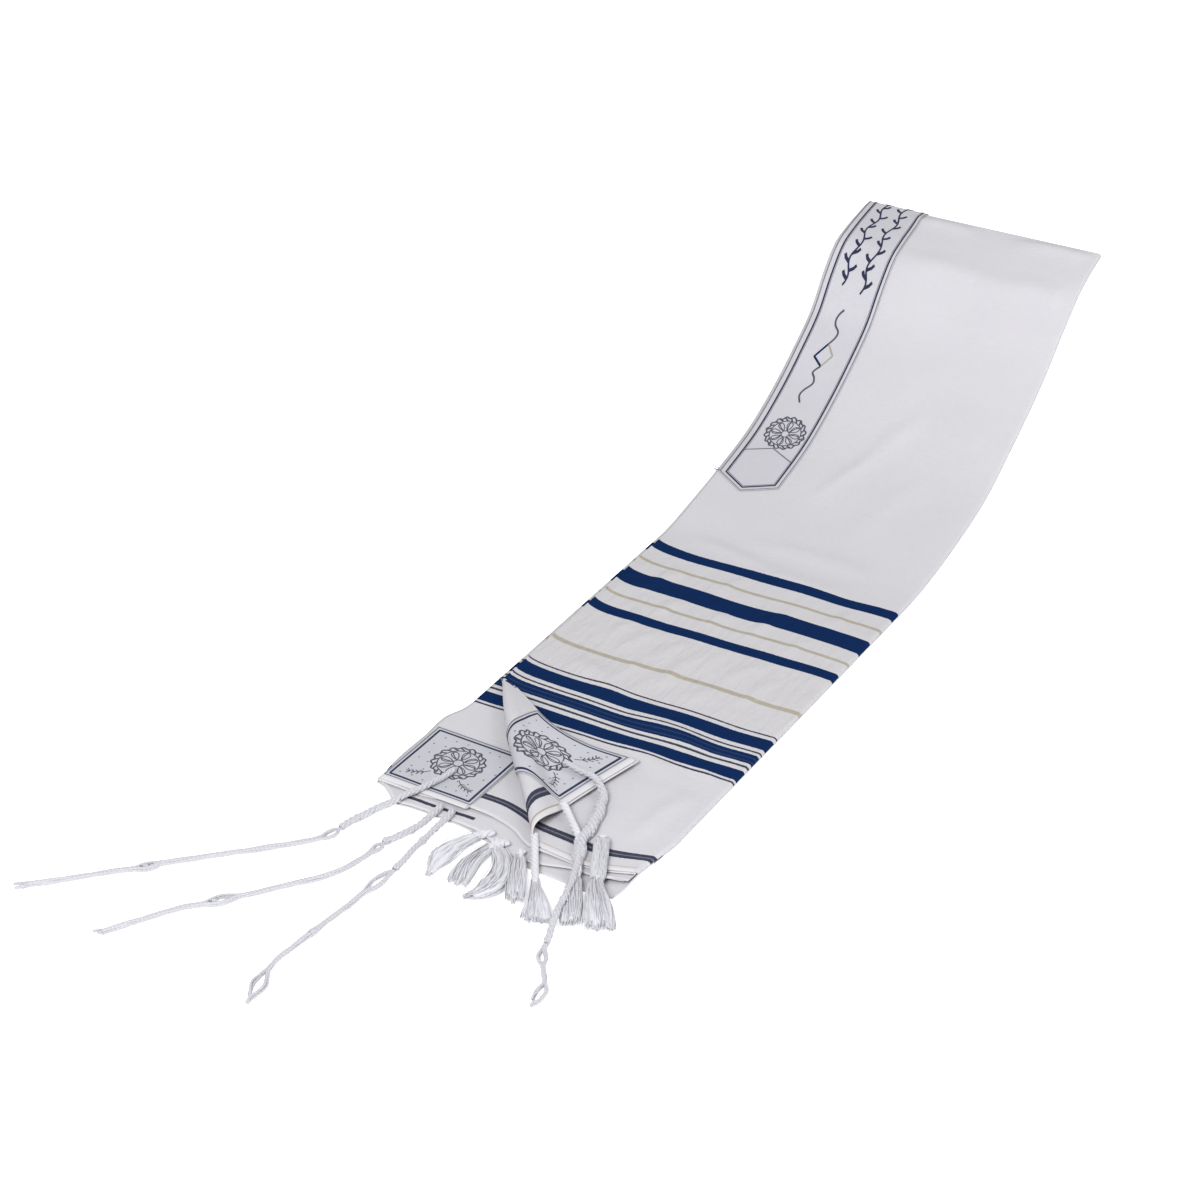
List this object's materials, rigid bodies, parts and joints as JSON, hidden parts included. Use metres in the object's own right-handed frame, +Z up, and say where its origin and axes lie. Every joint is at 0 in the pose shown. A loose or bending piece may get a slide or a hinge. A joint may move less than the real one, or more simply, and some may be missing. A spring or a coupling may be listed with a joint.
{
  "type": "folded prayer shawl",
  "caption": "Striped tallit prayer shawl folded flat in layers, a corner turned over, with a pointed neckband, corner patches, tassels and knotted corner fringes; its far end rises in a curve.",
  "frame": {"origin": "on the flat underside, halfway across the folded panel, near the middle of its flat stretch", "axes": "+X across the folded panel from the open selvages to the lengthwise fold, +Y along it from the tassels to the raised fold, +Z up from the surface it lies on"},
  "size_m": [0.4545, 1.1757, 0.1866],
  "materials": {
    "white_cloth": "matt plain weave, white with woven navy and beige stripes",
    "white_cloth_layers": "matt plain weave, white",
    "neckband_satin": "satin, white with embroidery",
    "patch_satin": "satin, white with embroidery",
    "white_yarn": "matt twisted yarn"
  },
  "bodies": {
    "root": {"folded_layers": "white_cloth_layers", "top_cloth": "white_cloth", "neckband": "neckband_satin", "lower_corner_patch": "patch_satin", "upper_corner_patch": "patch_satin", "end_tassel_1": "white_yarn", "end_tassel_2": "white_yarn", "end_tassel_3": "white_yarn", "end_tassel_4": "white_yarn", "end_tassel_5": "white_yarn", "end_tassel_6": "white_yarn", "end_tassel_7": "white_yarn", "flap_tassel": "white_yarn", "corner_fringe_1": "white_yarn", "corner_fringe_2": "white_yarn", "corner_fringe_3": "white_yarn", "corner_fringe_4": "white_yarn"}
  },
  "joints": []
}
